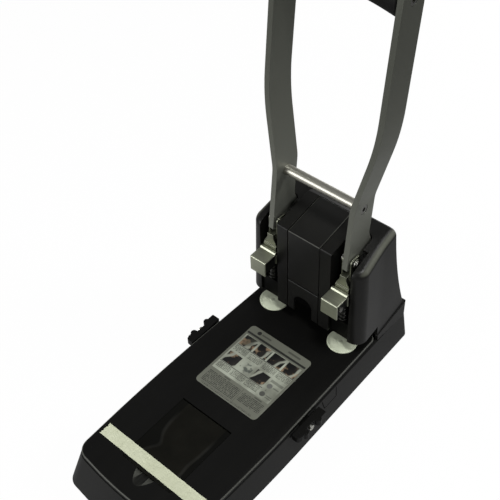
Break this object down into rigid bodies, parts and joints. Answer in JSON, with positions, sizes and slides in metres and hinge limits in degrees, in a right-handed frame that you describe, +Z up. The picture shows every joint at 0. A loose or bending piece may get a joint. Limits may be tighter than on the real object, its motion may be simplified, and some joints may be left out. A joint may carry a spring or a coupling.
{
  "type": "heavy-duty two-hole lever paper punch",
  "caption": "Lever paper punch: long black base with a deep throat, a rear tower with two punch heads, and a tall two-arm handle with a rubber grip.",
  "frame": {"origin": "middle of the bounding box at the floor, under the four feet", "axes": "+X to the operator's right, +Y away from the operator, +Z up"},
  "size_m": [0.1528, 0.322, 0.3878],
  "materials": {
    "black_plastic": "satin black moulding with a fine grain",
    "deck_plastic": "satin black moulding, slightly smoother than the shell",
    "smoked_plastic": "clear smoked moulding, glossy",
    "arm_paint": "satin grey powder coat on steel",
    "bracket_steel": "bright zinc-plated sheet",
    "plate_steel": "zinc-plated steel",
    "bright_steel": "bright turned steel",
    "polished_rod": "polished",
    "spring_steel": "drawn wire",
    "black_screw": "blackened steel, satin",
    "blackened_steel": "blackened sheet steel, dull",
    "disc_plastic": "off-white plastic",
    "bush_plastic": "natural bearing plastic",
    "label_film": "silver-grey printed film, satin",
    "crepe_tape": "cream crepe paper tape",
    "grip_rubber": "matt black rubber",
    "black_rubber": "matt black rubber"
  },
  "bodies": {
    "base": {"base_shell": "black_plastic", "deck": "deck_plastic", "storage_well": "black_plastic", "lid_hinge_pin": "bright_steel", "instruction_label": "label_film", "bottom_cover": "black_plastic", "feet": "black_rubber", "cover_screws": "bright_steel", "base_posts": "black_plastic", "jaw_plate": "plate_steel", "guide_channel": "black_plastic", "tower_shell": "black_plastic", "centre_cap": "black_plastic", "lower_panel": "black_plastic", "frame_screws": "bright_steel", "paper_stop": "plate_steel", "pivot_shaft": "bright_steel", "pivot_clips": "spring_steel", "pivot_bushes": "bush_plastic", "left_punch_frame": "blackened_steel", "left_return_spring": "spring_steel", "right_punch_frame": "blackened_steel", "right_return_spring": "spring_steel"},
    "lever": {"left_arm": "arm_paint", "right_arm": "arm_paint", "cross_rod": "polished_rod", "rod_screws": "black_screw", "grip_core": "bright_steel", "grip_sleeve": "grip_rubber", "grip_screws": "black_screw", "link_pins": "bright_steel", "link_clips": "spring_steel"},
    "lid": {"storage_lid": "smoked_plastic", "packing_tape": "crepe_tape"},
    "left_punch": {"left_punch_yoke": "plate_steel", "left_punch_bracket": "bracket_steel", "left_punch_block": "black_plastic", "left_punch_screw": "bright_steel", "left_punch_pin": "bright_steel"},
    "left_guide": {"left_guide_bar": "plate_steel", "left_guide_stop": "black_plastic", "left_guide_screw": "bright_steel"},
    "left_disc": {"left_cutting_disc": "disc_plastic"},
    "right_punch": {"right_punch_yoke": "plate_steel", "right_punch_bracket": "bracket_steel", "right_punch_block": "black_plastic", "right_punch_screw": "bright_steel", "right_punch_pin": "bright_steel"},
    "right_guide": {"right_guide_bar": "plate_steel", "right_guide_stop": "black_plastic", "right_guide_screw": "bright_steel"},
    "right_disc": {"right_cutting_disc": "disc_plastic"}
  },
  "joints": [
    {"name": "lever_hinge", "type": "hinge", "parent": "base", "child": "lever", "pos_m": [0, 0.11101, 0.1303], "axis": [1, 0, 0], "range_deg": [0, 60], "stiffness_Nm_per_rad": 1.6, "springref_deg": -17.19},
    {"name": "left_punch_slide", "type": "slide", "parent": "base", "child": "left_punch", "axis": [0, 0, -1], "range_m": [0, 0.01804], "deforming": ["left_return_spring"]},
    {"name": "right_punch_slide", "type": "slide", "parent": "base", "child": "right_punch", "axis": [0, 0, -1], "range_m": [0, 0.01804], "deforming": ["right_return_spring"]},
    {"name": "lid_hinge", "type": "hinge", "parent": "base", "child": "lid", "pos_m": [0, -0.05084, 0.03405], "axis": [-1, 0, 0], "range_deg": [0, 90]},
    {"name": "left_guide_slide", "type": "slide", "parent": "base", "child": "left_guide", "axis": [-1, 0, 0], "range_m": [0, 0.08]},
    {"name": "right_guide_slide", "type": "slide", "parent": "base", "child": "right_guide", "axis": [1, 0, 0], "range_m": [0, 0.08]},
    {"name": "left_disc_turn", "type": "hinge", "parent": "base", "child": "left_disc", "pos_m": [-0.04, 0.08871, 0.036], "axis": [0, 0, 1], "continuous": true},
    {"name": "right_disc_turn", "type": "hinge", "parent": "base", "child": "right_disc", "pos_m": [0.04, 0.08871, 0.036], "axis": [0, 0, 1], "continuous": true}
  ],
  "couplings": [
    {"joint": "left_punch_slide", "follows": "lever_hinge", "m_per_rad": 0.017131},
    {"joint": "right_punch_slide", "follows": "lever_hinge", "m_per_rad": 0.017131}
  ]
}
